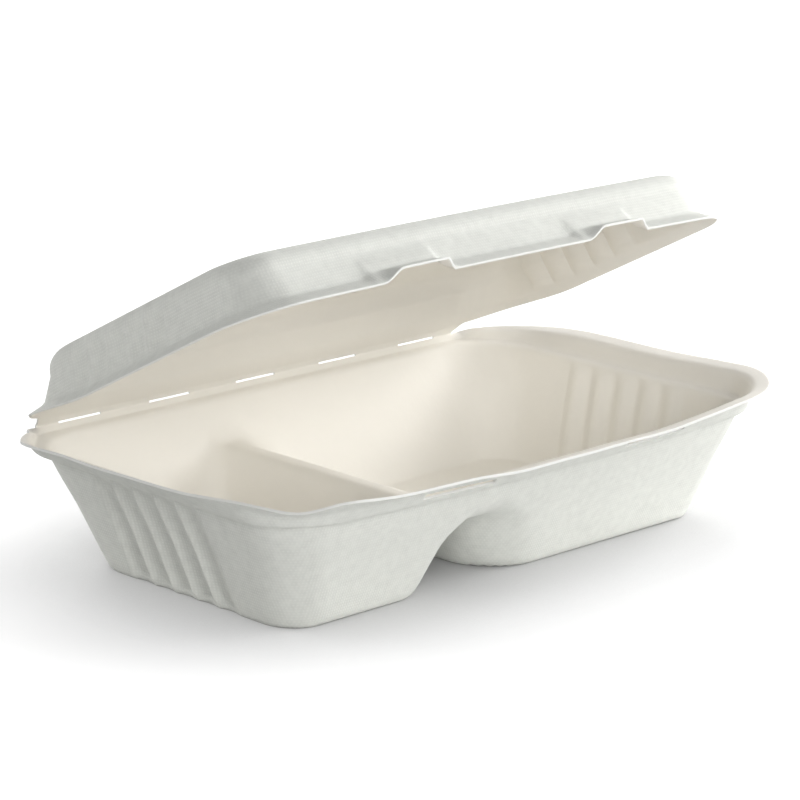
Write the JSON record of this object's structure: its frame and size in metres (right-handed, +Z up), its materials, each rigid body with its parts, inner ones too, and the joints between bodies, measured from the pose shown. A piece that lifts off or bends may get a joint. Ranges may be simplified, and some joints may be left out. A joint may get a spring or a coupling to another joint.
{
  "type": "clamshell container",
  "caption": "Hinged takeaway clamshell pressed from plant-fibre pulp, with a divided tray, fluted end walls, a lipped rim and a lid on a perforated fold.",
  "frame": {"origin": "underside of the tray's floor, at the middle of the floor", "axes": "+X along the container, +Y from the front edge towards the hinge, +Z up"},
  "size_m": [0.233, 0.1518, 0.113],
  "materials": {
    "moulded_pulp": "matt, woven mesh imprint outside, smooth inside"
  },
  "bodies": {
    "tray": {"base_tray": "moulded_pulp"},
    "lid": {"lid": "moulded_pulp"}
  },
  "joints": [
    {"name": "lid_hinge", "type": "hinge", "parent": "tray", "child": "lid", "pos_m": [0, 0.0737, 0.03975], "axis": [-1, 0, 0], "range_deg": [-26.7, 153.3]}
  ]
}
